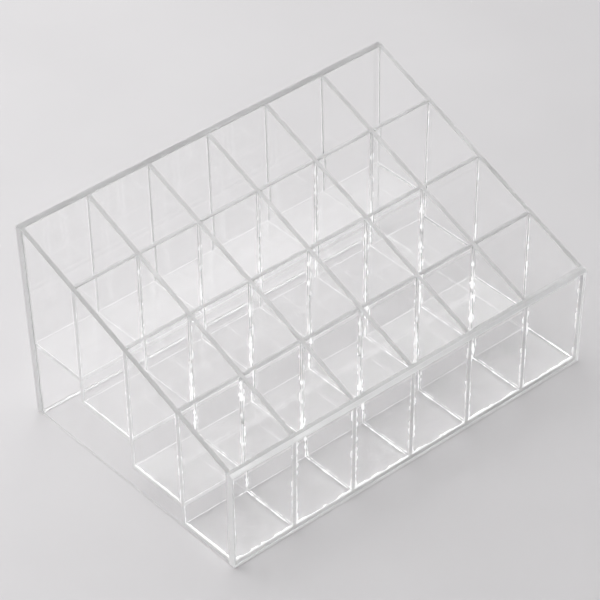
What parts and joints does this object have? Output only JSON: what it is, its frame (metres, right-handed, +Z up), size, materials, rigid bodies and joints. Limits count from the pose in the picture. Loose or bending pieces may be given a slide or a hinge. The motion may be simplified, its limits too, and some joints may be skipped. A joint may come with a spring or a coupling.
{
  "type": "stepped cosmetics organizer",
  "caption": "Clear acrylic vanity organizer: open square compartments in rising steps under a sloping rim, for lipsticks and other upright cosmetics.",
  "frame": {"origin": "on the table, in the middle of the box round the whole organizer", "axes": "+X along the rows of compartments, +Y from the low front wall to the tall back wall, +Z up"},
  "size_m": [0.1486, 0.0998, 0.074],
  "materials": {
    "clear_wall": "water-clear cast acrylic sheet with polished edges",
    "clear_floor": "water-clear cast acrylic sheet",
    "clear_divider": "thin water-clear cast acrylic sheet with polished edges"
  },
  "bodies": {
    "root": {"left_side_panel": "clear_wall", "right_side_panel": "clear_wall", "back_panel": "clear_wall", "front_panel": "clear_wall", "row_floor_1": "clear_floor", "row_floor_2": "clear_floor", "row_floor_3": "clear_floor", "row_floor_4": "clear_floor", "row_divider_1": "clear_divider", "row_divider_2": "clear_divider", "row_divider_3": "clear_divider", "column_divider_1": "clear_divider", "column_divider_2": "clear_divider", "column_divider_3": "clear_divider", "column_divider_4": "clear_divider", "column_divider_5": "clear_divider"}
  },
  "joints": []
}
